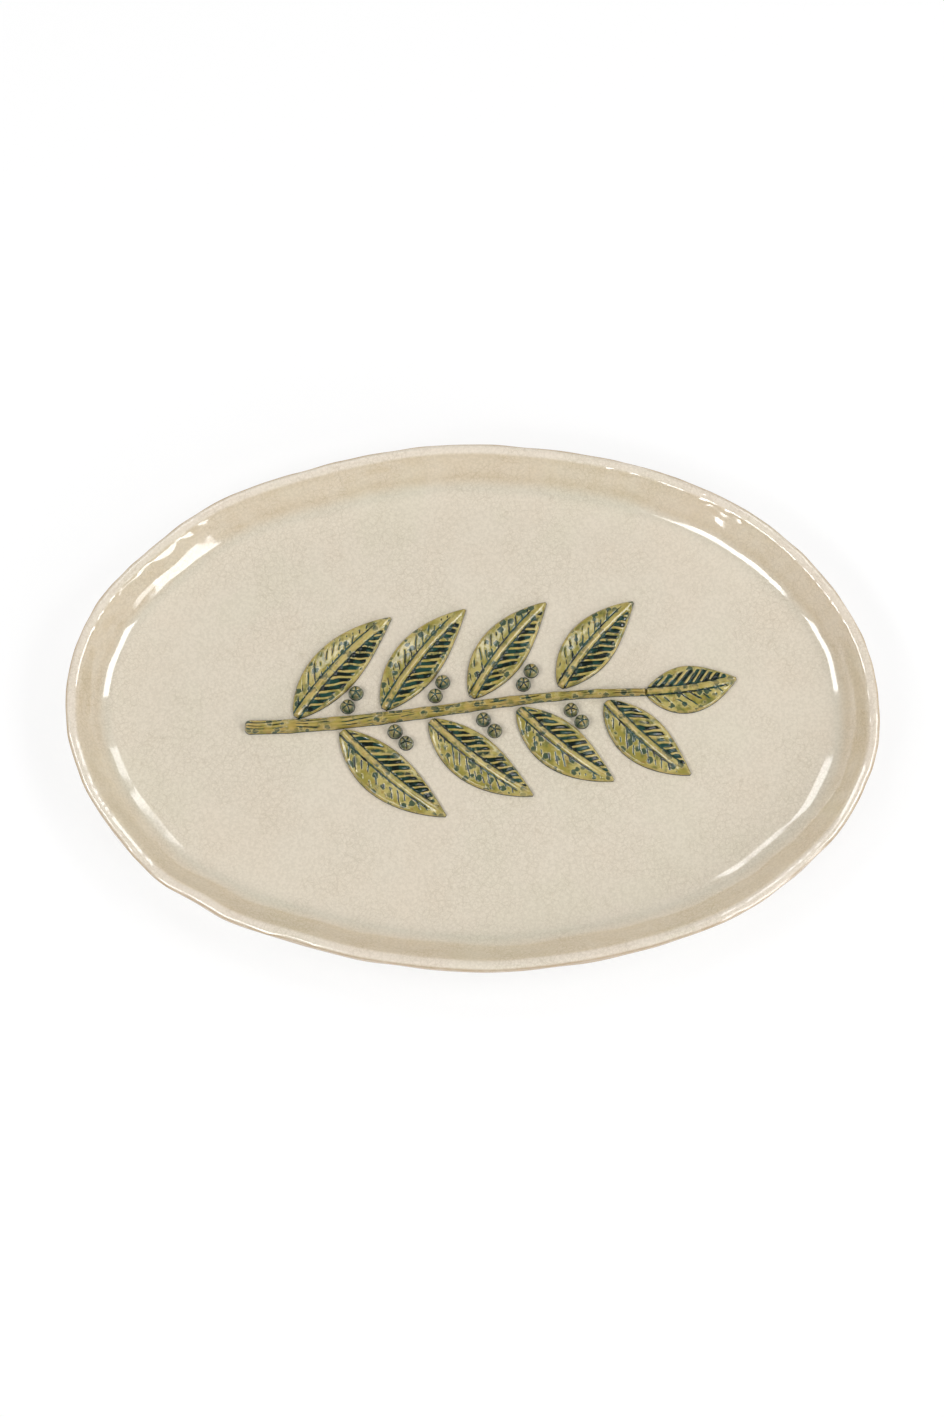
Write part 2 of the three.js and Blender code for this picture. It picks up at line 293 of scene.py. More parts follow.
def work_out(tree, operation, first, second):
    """One step of arithmetic on two values or outputs."""
    return add_node(tree, "Math", {0: first, 1: second}, operation=operation).outputs[0]


def work_out_place(tree, operation, *places):
    """One step of arithmetic on places."""
    return add_node(tree, "VectorMath", dict(enumerate(places)), operation=operation).outputs[0]


def rise(tree, value, low, high, start=0.0, end=1.0):
    """Smooth rise from start to end as value goes from low to high."""
    inputs = {"Value": value, "From Min": low, "From Max": high, "To Min": start, "To Max": end}
    return add_node(tree, "MapRange", inputs, interpolation_type="SMOOTHSTEP").outputs["Result"]


def place_on_piece(tree):
    """Object coordinates, in metres."""
    return add_node(tree, "TexCoord", {}).outputs["Object"]


def upright_part(tree, place):
    """Z of a place or direction."""
    return add_node(tree, "SeparateXYZ", {"Vector": place}).outputs["Z"]


def mottle(tree, place, size, detail=2.0):
    """Cloudy noise of about the given size, from 0 to 1."""
    inputs = {"Vector": place, "Scale": 1 / size, "Detail": detail}
    return add_node(tree, "TexNoise", inputs).outputs["Fac"]


def painted(tree, layer):
    """A value that the mesh carries on its vertices."""
    return add_node(tree, "Attribute", {}, attribute_name=layer).outputs["Fac"]


def start_material(name):
    """New material with its node tree, its shader and the place on the piece."""
    material = bpy.data.materials.new(name)
    material.use_nodes = True
    tree = material.node_tree
    return material, tree, tree.nodes["Principled BSDF"], place_on_piece(tree)


def finish_skin(tree, shader, colour, roughness, relief, depth, strength):
    """Give a shader its colour, its roughness and its fine relief."""
    bump = add_node(tree, "Bump", {"Strength": strength, "Distance": depth, "Height": relief})
    tree.links.new(colour, shader.inputs["Base Color"])
    tree.links.new(roughness, shader.inputs["Roughness"])
    tree.links.new(bump.outputs["Normal"], shader.inputs["Normal"])


def crackle_lines(tree, place, cell, width):
    """Fine crazing of the glaze: 1 on the lines between cells of the given size, 0 elsewhere."""
    noise_inputs = {"Vector": place, "Scale": 1 / cell, "Detail": 2.0}
    wander = add_node(tree, "TexNoise", noise_inputs).outputs["Color"]
    bent = work_out_place(tree, "MULTIPLY_ADD", wander, (CRACKLE_BEND * cell,) * 3, place)
    cells = add_node(tree, "TexVoronoi", {"Vector": bent, "Scale": 1 / cell}, feature="DISTANCE_TO_EDGE")
    return rise(tree, cells.outputs["Distance"], 0.0, width / cell, 1.0, 0.0)


def crazing(tree, place):
    """Coarse and fine crackle together, which shows more in some patches than in others."""
    coarse = crackle_lines(tree, place, COARSE_CRACKLE, COARSE_LINE)
    fine = crackle_lines(tree, place, FINE_CRACKLE, FINE_LINE)
    lines = work_out(tree, "MAXIMUM", coarse, work_out(tree, "MULTIPLY", fine, FINE_STRENGTH))
    patches = rise(tree, mottle(tree, place, CRACKLE_PATCH), 0.35, 0.6, 0.15, 0.65)
    return work_out(tree, "MULTIPLY", lines, patches)


def wall_depth(tree, place, height):
    """How deep the glaze lies on the wall: blotchy, in runs down the wall and in brush strokes along it."""
    blotches = rise(tree, mottle(tree, place, BLOTCH_SIZE), 0.2, 0.6, 0.85, 1.0)
    round_oval = work_out_place(tree, "MULTIPLY", place, (1, HALF_LENGTH / HALF_WIDTH, 0))
    spoke = work_out_place(tree, "NORMALIZE", round_oval)
    runs = rise(tree, mottle(tree, spoke, RUN_WIDTH), 0.3, 0.6, 0.85, 1.0)
    climb = work_out(tree, "MULTIPLY", height, STROKE_CLIMB)
    upward = add_node(tree, "CombineXYZ", {"Z": climb}).outputs[0]
    along_wall = work_out_place(tree, "MULTIPLY_ADD", spoke, (STROKE_TURN,) * 3, upward)
    strokes = rise(tree, mottle(tree, along_wall, STROKE_SIZE), 0.3, 0.65, 0.82, 1.0)
    return work_out(tree, "MULTIPLY", work_out(tree, "MULTIPLY", blotches, runs), strokes)


def cream_crackle():
    """Clear cream glaze: tan where it pools on the wall, pale on the lip, crazed all over."""
    floor_cream = (0.728, 0.659, 0.545)
    wall_tan = (0.655, 0.554, 0.406)
    lip_pale = (0.785, 0.705, 0.595)
    crease_green = (0.68, 0.625, 0.515)
    greener = (0.985, 0.996, 0.984)
    pinker = (1.0, 0.99, 0.985)
    grain_tone = (0.925, 0.92, 0.91)
    craze_tone = (0.80, 0.77, 0.72)
    # Brown of the bare clay at the outer edge, which also serves as painted shade on the lip's outer side
    clay_and_shade_tan = (0.43, 0.315, 0.185)
    material, tree, shader, place = start_material("cream_crackle")
    height = upright_part(tree, place)
    wall = rise(tree, height, *WALL_TAN_RISE)
    crease = work_out(tree, "SUBTRACT", rise(tree, height, *CREASE_RISE), wall)
    pooled = work_out(tree, "MULTIPLY", wall, wall_depth(tree, place, height))
    tint = mottle(tree, place, TINT_SIZE)
    grain = rise(tree, mottle(tree, place, GRAIN_SIZE, 3.0), 0.38, 0.62)
    breaks = rise(tree, mottle(tree, place, BREAK_SIZE, 3.0), 0.25, 0.6, 0.7, 1.0)
    broken_clay_and_shade = work_out(tree, "MULTIPLY", painted(tree, "edge_clay_and_shade"), breaks)
    colour = mix_colours(tree, crease, floor_cream, crease_green)
    colour = mix_colours(tree, pooled, colour, wall_tan)
    colour = mix_colours(tree, painted(tree, "lip"), colour, lip_pale)
    colour = mix_colours(tree, rise(tree, tint, 0.5, 0.66), colour, greener, "MULTIPLY")
    colour = mix_colours(tree, rise(tree, tint, 0.5, 0.34), colour, pinker, "MULTIPLY")
    colour = mix_colours(tree, grain, colour, grain_tone, "MULTIPLY")
    colour = mix_colours(tree, crazing(tree, place), colour, craze_tone, "MULTIPLY")
    # Bare clay at the outer edge, darkened further down the outer side as painted shade
    colour = mix_colours(tree, broken_clay_and_shade, colour, clay_and_shade_tan)
    shader.inputs["IOR"].default_value = GLAZE_IOR
    gloss = rise(tree, mottle(tree, place, GLOSS_SIZE), 0.3, 0.7, 0.05, 0.11)
    ripple = mottle(tree, place, RIPPLE_SIZE)
    finish_skin(tree, shader, colour, gloss, ripple, RIPPLE_DEPTH, RIPPLE_STRENGTH)
    return material


def make_piece(mesh, name, material, slot, *nodes):
    """Smooth object from a bmesh, which rides with the plate and stands for the given solids."""
    data = bpy.data.meshes.new(name)
    mesh.to_mesh(data)
    mesh.free()
    data.shade_smooth()
    data.materials.append(material)
    piece = bpy.data.objects.new(name, data)
    bpy.context.scene.collection.objects.link(piece)
    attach(piece, "root")
    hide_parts(*nodes)


lip_inset = LIP_WIDTH + LIP_FALL * (WALL_FOOT - LIP_WIDTH) / (RIM_TOP - FLOOR)
body_corners = [
    (HALF_LENGTH, UNDERSIDE, 0),
    (SLAB_EDGE, UNDERSIDE, SLAB_EDGE_ROUNDING),
    (WAIST, FLOOR, WAIST_ROUNDING),
    (BELLY, BELLY_HEIGHT, BELLY_ROUNDING),
    (EDGE_TRIM, LIP_FOOT, LIP_FOOT_ROUNDING),
    (EDGE_TRIM, LIP_EDGE, LIP_EDGE_ROUNDING),
    (CROWN_INSET, CROWN_HEIGHT, CROWN_ROUNDING),
    (lip_inset, RIM_TOP - LIP_FALL, LIP_INNER_ROUNDING),
    (WALL_FOOT, FLOOR, COVE_REACH),
    (HALF_LENGTH, FLOOR, 0),
]
body_line = [Vector((HALF_LENGTH - point.x, point.y)) for point in rounded_line(body_corners)]
plate_body = spin_line(body_line, BODY_EDGE, BODY_STEPS)
edge_clay_and_shade = plate_body.verts.layers.float.new("edge_clay_and_shade")
lip = plate_body.verts.layers.float.new("lip")
for vert in plate_body.verts:
    inset = HALF_LENGTH - math.hypot(vert.co.x, vert.co.y)
    upper = smooth_share(*UPPER_RISE, vert.co.z)
    # Share of bare brown clay and painted shade on the lip's outer side
    vert[edge_clay_and_shade] = upper * smooth_share(*CLAY_AND_SHADE_FADE, inset)
    vert[lip] = upper * smooth_share(*LIP_PALE_FADE, inset)
press_dents(plate_body, body_dent)
carry_round_oval(plate_body)
make_piece(
    plate_body, "glazed_plate", cream_crackle(), "cream_crackle_glaze", "well_slab", "rim_wall", "cove_coil"
)

# Foot ring
# A flat coil of clay luted under the slab, which the plate stands on. The glaze is wiped off it before
# firing, so it stands on bare, tan stoneware, and the glaze ends in an uneven line on its sides.
foot_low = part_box("foot_ring")[0]
FOOT_OUTSIDE = foot_low.x - rim_low.x
FOOT_WIDTH = 9 * MM
FOOT_TOP = UNDERSIDE + 0.4 * MM  # just inside the slab
FOOT_ROUNDING = 1.8 * MM
FOOT_FILLET = 1.2 * MM
FOOT_DENT = 0.2 * MM
FOOT_DENT_SPACING = 12 * MM
FOOT_DENT_RISE = (0, 1 * MM)
FOOT_STEPS = 480
FOOT_EDGE = 2 * MM
WIPED_LINE = 1.6 * MM  # lowest height of the glaze's edge, which wanders up from there
LINE_WANDER = 1.6 * MM
LINE_WANDER_SIZE = 10 * MM
LINE_BLEND = 0.3 * MM
BURNT_BAND = 0.6 * MM  # below the glaze's edge
CLAY_GRAIN = 1.1 * MM
CLAY_TOOTH = 0.8 * MM
CLAY_TOOTH_DEPTH = 0.15 * MM
CLAY_TOOTH_STRENGTH = 0.6


def wiped_foot():
    """Bare tan clay with darker grains below the wiped line, cream glaze above it."""
    clay = (0.43, 0.275, 0.15)
    clay_dark = (0.31, 0.185, 0.095)
    glaze = (0.60, 0.51, 0.38)
    burnt_line = (0.30, 0.15, 0.06)
    material, tree, shader, place = start_material("wiped_foot")
    wander = work_out(tree, "MULTIPLY", mottle(tree, place, LINE_WANDER_SIZE), LINE_WANDER)
    level = work_out(tree, "SUBTRACT", upright_part(tree, place), wander)
    glazed = rise(tree, level, WIPED_LINE, WIPED_LINE + LINE_BLEND)
    burnt = rise(tree, level, WIPED_LINE - BURNT_BAND, WIPED_LINE)
    grains = rise(tree, mottle(tree, place, CLAY_GRAIN, 4.0), 0.5, 0.68)
    colour = mix_colours(tree, grains, clay, clay_dark)
    colour = mix_colours(tree, burnt, colour, burnt_line)
    colour = mix_colours(tree, glazed, colour, glaze)
    roughness = rise(tree, glazed, 0.0, 1.0, 0.85, 0.1)
    bare = work_out(tree, "SUBTRACT", 1.0, glazed)
    tooth = work_out(tree, "MULTIPLY", mottle(tree, place, CLAY_TOOTH, 3.0), bare)
    finish_skin(tree, shader, colour, roughness, tooth, CLAY_TOOTH_DEPTH, CLAY_TOOTH_STRENGTH)
    return material


def foot_dent(place):
    """Depth of the dents on the foot ring, none where it stands on the table."""
    return FOOT_DENT * (0.5 + unevenness(place, FOOT_DENT_SPACING)) * smooth_share(*FOOT_DENT_RISE, place.z)


foot_corners = [
    (FOOT_OUTSIDE + FOOT_WIDTH / 2, foot_low.z, 0),
    (FOOT_OUTSIDE, foot_low.z, FOOT_ROUNDING),
    (FOOT_OUTSIDE, UNDERSIDE - FOOT_FILLET / 2, FOOT_FILLET / 2),
    (FOOT_OUTSIDE - FOOT_FILLET, FOOT_TOP, 0),
    (FOOT_OUTSIDE + FOOT_WIDTH + FOOT_FILLET, FOOT_TOP, 0),
    (FOOT_OUTSIDE + FOOT_WIDTH, UNDERSIDE - FOOT_FILLET / 2, FOOT_FILLET / 2),
    (FOOT_OUTSIDE + FOOT_WIDTH, foot_low.z, FOOT_ROUNDING),
    (FOOT_OUTSIDE + FOOT_WIDTH / 2, foot_low.z, 0),
]
foot_line = [Vector((HALF_LENGTH - point.x, point.y)) for point in rounded_line(foot_corners)]
foot_coil = spin_line(foot_line, FOOT_EDGE, FOOT_STEPS)
carry_round_oval(foot_coil)
press_dents(foot_coil, foot_dent)
make_piece(foot_coil, "foot_coil", wiped_foot(), "bare_stoneware", "foot_ring")

# Stem
# A coil of clay rolled to a taper, laid on the floor in a shallow S, scored with a needle and luted with
# slip. It is glazed olive and ochre, and the dark teal glaze gathers in the scored lines and along its foot.
stem_low, stem_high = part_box("stem")
STEM_WIDTH = 7 * MM
STEM_TIP_WIDTH = 3.5 * MM
STEM_LENGTH = stem_high.x - stem_low.x
STEM_SWAY = -stem_low.y - STEM_WIDTH / 2
STEM_RELIEF = stem_high.z - FLOOR
STEM_STEPS = (420, 28)  # along it and across it
END_ROUNDING = 2.2 * MM
LINE_STEPS = 200
SIDE_LEAVES = 8
BARE_STEM = 22 * MM  # from the cut end to the first leaf
LEAF_STEP = (STEM_LENGTH - BARE_STEM) / SIDE_LEAVES
KNOT_SWELL = 0.25 * MM  # thickening where a leaf is luted on
KNOT_LENGTH = 3 * MM
SCORES = 4
SCORE_DEPTH = 0.6 * MM
SCORE_WANDER = 0.35  # to the side, as a share of the half width
SCORE_WAVES = 14  # bends along the stem
SCORE_BREAKS = 26  # places along the stem where a score may break off
SCORE_SHIFT = 7.3  # keeps the breaks of neighbouring scores apart
SCORE_LAYER = 3  # keeps the breaks apart from the bends
SCORE_SIDE = (0.5, 0.0)  # shares of the way from a score to the middle between two, over which it deepens
SCORE_LAND = (0.45, 0.8)  # and over which the clay between two of them gets its ochre
SCORE_HOLD = (-0.3, 0.05)  # noise over which a score comes back after a break
SCORE_EDGE = (1.0, 0.85)  # shares of the half width over which the scores end
KNOT_OCHRE = 0.25
LAND_OCHRE = 0.4

# Every piece of the branch meets the floor in the same way
MARGIN_RELIEF = 1.0 * MM  # height of a piece's margin, where its side drops to the floor
MARGIN_ROUNDING = 1.0 * MM
SIDE_FOOT = 0.3 * MM  # height where a side turns out
FOOT_FLARE = 0.45 * MM  # how far the glaze spreads where a piece meets the floor
SINK = 0.35 * MM  # how far a piece reaches into the floor's glaze
SIDE_LEVELS = {1: (SIDE_FOOT, FOOT_FLARE / 3), 2: (-SINK, FOOT_FLARE)}  # height, and distance out
AT_EDGE = 0.9999  # of the way from the middle to the edge, which allows for rounding

# The branch's glaze
RELIEF_IOR = 1.6
OLIVE = (0.285, 0.245, 0.052)
OCHRE = (0.36, 0.265, 0.07)
GREY_GREEN = (0.105, 0.122, 0.034)
BROAD_MOTTLE = 9 * MM
CLOUD_SIZE = 5 * MM
FLECK_SIZE = 2.2 * MM
SPOT_SPACING = 4.6 * MM
SPOT_WOBBLE = 0.5  # as a share of the spacing
SPOT_WOBBLE_SIZE = 1.6 * MM
SPOT_GROUP = 16 * MM
THIN_SIZE = 3 * MM
RUNNY_SIZE = 2.6 * MM
RUNNY_SHARE = 0.9
POOL_TINT_SIZE = 6 * MM
RELIEF_GLOSS_SIZE = 2.5 * MM
PIT_SIZE = 1.4 * MM
PIT_DEPTH = 0.12 * MM
PIT_STRENGTH = 0.3
SPOTTING = 0.9  # how strong the spots are


def stem_point(share):
    """Point of the stem's line at a share of its length along X."""
    return Vector((stem_low.x + share * STEM_LENGTH, -STEM_SWAY * math.cos(math.pi * share), FLOOR))


stem_marks = [0.0]
for line_step in range(LINE_STEPS):
    leg = stem_point((line_step + 1) / LINE_STEPS) - stem_point(line_step / LINE_STEPS)
    stem_marks.append(stem_marks[-1] + leg.length)


def on_stem(distance):
    """Point of the stem's line a given distance from its cut end, and the heading there."""
    mark = min(bisect_right(stem_marks, distance) - 1, LINE_STEPS - 1)
    past = (distance - stem_marks[mark]) / (stem_marks[mark + 1] - stem_marks[mark])
    share = (mark + past) / LINE_STEPS
    slope = STEM_SWAY * math.pi * math.sin(math.pi * share) / STEM_LENGTH
    return stem_point(share), math.atan(slope)


def lay_strip(line, half_width, relief, length, steps):
    """Strip of clay on the floor, from u = 0 to 1 along a line and from v = -1 to 1 across it.
    relief(u, v) gives its height, how much dark glaze pools there and how thin the glaze is on a ridge."""
    strip = bmesh.new()
    level = strip.verts.layers.int.new("level")
    pool = strip.verts.layers.float.new("pool")
    ridge = strip.verts.layers.float.new("ridge")
    bmesh.ops.create_grid(strip, x_segments=steps[0], y_segments=steps[1], size=1)
    border = [edge for edge in strip.edges if edge.is_boundary]
    for side_level in SIDE_LEVELS:
        side = bmesh.ops.extrude_edge_only(strip, edges=border)["geom"]
        for vert in [part for part in side if isinstance(part, bmesh.types.BMVert)]:
            vert[level] = side_level
        border = [edge for edge in strip.edges if edge.is_boundary]
    bmesh.ops.contextual_create(strip, geom=border)
    for vert in strip.verts:
        u = (vert.co.x + 1) / 2
        v = vert.co.y
        end = (vert.co.x > AT_EDGE) - (vert.co.x < -AT_EDGE)
        edge = (v > AT_EDGE) - (v < -AT_EDGE)
        point, heading = line(u)
        ahead = Vector((math.cos(heading), math.sin(heading), 0))
        aside = Vector((-ahead.y, ahead.x, 0))
        margin = min((1 - abs(v)) * half_width(u), u * length, (1 - u) * length)
        drop = 1 - min(margin / MARGIN_ROUNDING, 1)
        height, pool_share, ridge_share = relief(u, v)
        height = MARGIN_RELIEF + (height - MARGIN_RELIEF) * math.sqrt(1 - drop * drop)
        out = 0
        if vert[level]:
            height, out = SIDE_LEVELS[vert[level]]
            pool_share = 1.0
            ridge_share = 0.0
        vert.co = point + aside * (v * half_width(u) + edge * out) + ahead * end * out
        vert.co.z += height
        vert[pool] = pool_share
        vert[ridge] = ridge_share
    bmesh.ops.recalc_face_normals(strip, faces=strip.faces)
    return strip


def teal_spots(tree, place, spotting):
    """Shares of the teal spots and of their pale halos, which come in groups."""
    cells = add_node(tree, "TexVoronoi", {"Vector": place, "Scale": 1 / SPOT_SPACING}).outputs["Distance"]
    wobble = work_out(tree, "MULTIPLY", mottle(tree, place, SPOT_WOBBLE_SIZE, 3.0), SPOT_WOBBLE)
    off = work_out(tree, "ADD", cells, wobble)
    grouped = rise(tree, mottle(tree, place, SPOT_GROUP), 0.34, 0.46, 0.0, spotting)
    spots = work_out(tree, "MULTIPLY", rise(tree, off, 0.56, 0.65, 1.0, 0.0), grouped)
    halos = work_out(tree, "MULTIPLY", rise(tree, off, 0.62, 0.78, 0.6, 0.0), grouped)
    return spots, halos


def branch_glaze(name, ground, light, shade, spotting):
    """Runny olive glaze: mottled, spotted with teal, thin and ochre on the ridges, dark where it pools."""
    ochre_ridge = (0.50, 0.36, 0.12)
    rust = (0.28, 0.17, 0.045)
    halo_cream = (0.54, 0.46, 0.22)
    teal = (0.015, 0.055, 0.040)
    teal_black = (0.005, 0.011, 0.008)
    material, tree, shader, place = start_material(name)
    broad = rise(tree, mottle(tree, place, BROAD_MOTTLE, 3.0), 0.42, 0.58)
    clouds = rise(tree, mottle(tree, place, CLOUD_SIZE, 4.0), 0.5, 0.66, 0.0, 0.8)
    flecks = rise(tree, mottle(tree, place, FLECK_SIZE, 5.0), 0.55, 0.7, 0.0, 0.65)
    spots, halos = teal_spots(tree, place, spotting)
    thin = rise(tree, mottle(tree, place, THIN_SIZE, 4.0), 0.36, 0.56)
    thin_ridge = work_out(tree, "MULTIPLY", painted(tree, "ridge"), thin)
    runny = work_out(tree, "MULTIPLY", mottle(tree, place, RUNNY_SIZE, 4.0), RUNNY_SHARE)
    pooled = rise(tree, work_out(tree, "ADD", painted(tree, "pool"), runny), 0.72, 1.1)
    pool_tint = rise(tree, mottle(tree, place, POOL_TINT_SIZE), 0.4, 0.6)
    colour = mix_colours(tree, broad, ground, light)
    colour = mix_colours(tree, clouds, colour, shade)
    colour = mix_colours(tree, flecks, colour, rust)
    colour = mix_colours(tree, halos, colour, halo_cream)
    colour = mix_colours(tree, spots, colour, teal)
    colour = mix_colours(tree, thin_ridge, colour, ochre_ridge)
    colour = mix_colours(tree, pooled, colour, mix_colours(tree, pool_tint, teal_black, teal))
    shader.inputs["IOR"].default_value = RELIEF_IOR
    gloss = rise(tree, mottle(tree, place, RELIEF_GLOSS_SIZE), 0.3, 0.7, 0.05, 0.14)
    pits = mottle(tree, place, PIT_SIZE, 3.0)
    finish_skin(tree, shader, colour, gloss, pits, PIT_DEPTH, PIT_STRENGTH)
    return material


def stem_line(u):
    """Point and heading at a share of the stem's own length."""
    return on_stem(u * stem_marks[-1])


def stem_knot(u):
    """1 where a leaf is luted to the stem, 0 away from it."""
    step = (u * stem_marks[-1] - BARE_STEM) / LEAF_STEP
    nearest = min(max(round(step), 0), SIDE_LEAVES - 1)
    return math.exp(-(((step - nearest) * LEAF_STEP / KNOT_LENGTH) ** 2))


def stem_half_width(u):
    """The coil tapers to its tip, swells at its knots and is rounded at its free end."""
    taper = (STEM_WIDTH + (STEM_TIP_WIDTH - STEM_WIDTH) * u) / 2
    short = 1 - min(u * stem_marks[-1] / END_ROUNDING, 1)
    return (taper + KNOT_SWELL * stem_knot(u)) * (0.5 + 0.5 * math.sqrt(1 - short * short))


def stem_relief(u, v):
    """Half-round coil with needle scores that wander and break off."""
    knot = stem_knot(u)
    rounding = math.sqrt(1 - v * v)
    dome = MARGIN_RELIEF + (STEM_RELIEF - MARGIN_RELIEF - KNOT_SWELL * (1 - knot)) * rounding
    wander = SCORE_WANDER * noise.noise(Vector((u * SCORE_WAVES, v, 0)))
    place = (v + wander) * SCORES / 2
    off = abs(place - round(place)) * 2
    breaks = noise.noise(Vector((u * SCORE_BREAKS, round(place) * SCORE_SHIFT, SCORE_LAYER)))
    score = smooth_share(*SCORE_SIDE, off) * smooth_share(*SCORE_HOLD, breaks)
    score = score * smooth_share(*SCORE_EDGE, abs(v)) * (1 - knot)
    ochre = KNOT_OCHRE * knot + LAND_OCHRE * smooth_share(*SCORE_LAND, off)
    return dome - SCORE_DEPTH * score, score, ochre


stem_strip = lay_strip(stem_line, stem_half_width, stem_relief, stem_marks[-1], STEM_STEPS)
stem_glaze = branch_glaze("stem_glaze", OCHRE, OLIVE, GREY_GREEN, SPOTTING)
make_piece(stem_strip, "scored_stem", stem_glaze, "stem_glaze", "stem")

# Leaves
# Blades cut from thin clay, pressed to a low dome with a raised midrib and luted to alternate sides of the
# stem. One half of a blade has veins raised between gouged hollows, the other veins scored with a needle.
# Dark teal glaze fills the hollows and spots the mottled skin, and the ridges and margins break to ochre.
PALE_OLIVE = (0.44, 0.37, 0.125)
LEAF_TILT = math.radians(54)
LEAF_BEND = math.radians(18)
LEAF_LENGTH = 70 * MM
LEAF_SHRINK = 2 * MM
END_LEAF_LENGTH = 46 * MM
LEAF_WIDTH = 24 * MM
LEAF_STEPS = (230, 84)  # along it and across it
STALK_WIDTH = 2.4 * MM
TIP_WIDTH = 0.8 * MM
LEAF_WIDEST = 0.85  # under 1 moves the widest place towards the stalk
LEAF_FULLNESS = 0.9  # under 1 fills out the outline
LEAF_EDGE = 1.8 * MM
LEAF_RELIEF = 3.8 * MM
LEAF_BORDER = (0.88, 0.97)  # shares of the half width over which the margin's ochre grows
SLIP_JOINT = 0.3 * MM
LEAF_RIB = 0.9 * MM
RIB_WIDTH = 1.0 * MM
RIB_TAPER = 0.7  # share of the rib that is gone at the tip
RIB_CUT = 0.4 * MM  # depth of the cut on each side of the midrib
RIB_CUT_WIDTH = 0.6 * RIB_WIDTH
RIB_CUT_END = (0.97, 0.8)  # shares of the length over which the cut ends
VEIN_SPACING = 4.6 * MM
VEIN_SWEEP = 0.85  # how far a vein runs ahead for each step to the side
VEIN_BOW = 18  # how much a vein bends further ahead, per metre
VEIN_WIDTH = 0.42 * MM
VEIN_HOLLOW = 0.8 * MM
VEIN_WANDER = 1.1 * MM
VEIN_STAGGER = 0.25  # of a spacing, so that the two halves' veins do not meet
VEIN_STRAY = 0.16  # of the half width, by which a vein is longer or shorter
VEIN_END = 0.88  # share of the half width where a vein ends
VEIN_FADE = 0.7  # share where it begins to fade
VEIN_ROOT = (1.2 * MM, 2.2 * MM)  # distances from the middle over which veins begin
STALK_END = (0.02, 0.1)  # shares of the length over which they begin
TIP_END = (0.97, 0.85)  # and over which they end
HOLLOW_SIDE = (0.25 * MM, 1.1 * MM)  # distances from a vein over which its hollow deepens
SCORED_DEPTH = 0.4 * MM
RIB_CUT_POOL = 0.8  # how much dark glaze the cut beside the midrib holds
BORDER_OCHRE = 0.6


def along(point, heading, distance):
    """Point at a distance from another one, along a heading."""
    return point + Vector((math.cos(heading), math.sin(heading), 0)) * distance


def vein_luck(vein, leaf, side):
    """A vein's own luck, mostly between -0.5 and 0.5; the odd factors keep veins and leaves unlike."""
    return noise.noise(Vector((vein * 0.73 + 0.37, leaf * 1.93 + 0.21, side * 0.4)))


def vein_wander(u, v, leaf):
    """How far a vein wanders along the leaf, with bends of its own on each leaf."""
    return VEIN_WANDER * noise.noise(Vector((u * 11, v * 1.5, leaf * 5.3)))


def needle_skips(u, v, leaf):
    """0 where the needle skipped over the clay, 1 where it scored it."""
    return smooth_share(-0.3, 0.0, noise.noise(Vector((u * 13, v * 4, leaf * 3.7))))


def leaf_strip(base, heading, length, turn, number):
    """Leaf along a bow that turns from its heading; number makes each leaf's hand-cut wander its own."""
    middle = along(base, heading, length / 2)
    tip = along(middle, heading - turn, length / 2)

    def line(u):
        return base.lerp(middle, u).lerp(middle.lerp(tip, u), u), heading - turn * u

    def swell(u):
        return max(math.sin(math.pi * u**LEAF_WIDEST), 0) ** LEAF_FULLNESS

    def half_width(u):
        stalk = (STALK_WIDTH + (TIP_WIDTH - STALK_WIDTH) * u) / 2
        return stalk + (LEAF_WIDTH / 2 - stalk) * swell(u)

    def relief(u, v):
        aside = abs(v) * half_width(u)
        side = 1 if v > 0 else -1
        start = u * length - VEIN_SWEEP * aside - VEIN_BOW * aside * aside + vein_wander(u, v, number)
        place = start / VEIN_SPACING + VEIN_STAGGER * side
        vein_off = abs(place - round(place)) * VEIN_SPACING / math.hypot(1, VEIN_SWEEP)
        luck = vein_luck(math.floor(place), number, side)
        reach = smooth_share(VEIN_END + VEIN_STRAY * luck, VEIN_FADE + VEIN_STRAY * luck, abs(v))
        reach *= smooth_share(*VEIN_ROOT, aside) * smooth_share(*STALK_END, u) * smooth_share(*TIP_END, u)
        vein = math.exp(-((vein_off / VEIN_WIDTH) ** 2)) * reach
        hollow = smooth_share(*HOLLOW_SIDE, vein_off) * reach * (1 + luck)
        scored = 0
        if side * turn > 0:
            scored = vein * needle_skips(u, v, number)
            vein = 0
            hollow = 0
        rib = math.exp(-((aside / RIB_WIDTH) ** 2)) * (1 - RIB_TAPER * u)
        rib_cut = math.exp(-(((aside - 2 * RIB_WIDTH) / RIB_CUT_WIDTH) ** 2)) * smooth_share(*RIB_CUT_END, u)
        dome = (LEAF_RELIEF - LEAF_EDGE) * (1 - v * v) * math.sqrt(swell(u))
        height = LEAF_EDGE + dome + LEAF_RIB * rib
        height -= VEIN_HOLLOW * hollow + SCORED_DEPTH * scored + RIB_CUT * rib_cut
        border = smooth_share(*LEAF_BORDER, abs(v))
        return height, max(hollow, scored, RIB_CUT_POOL * rib_cut), max(vein, rib, BORDER_OCHRE * border)

    return lay_strip(line, half_width, relief, length, LEAF_STEPS)


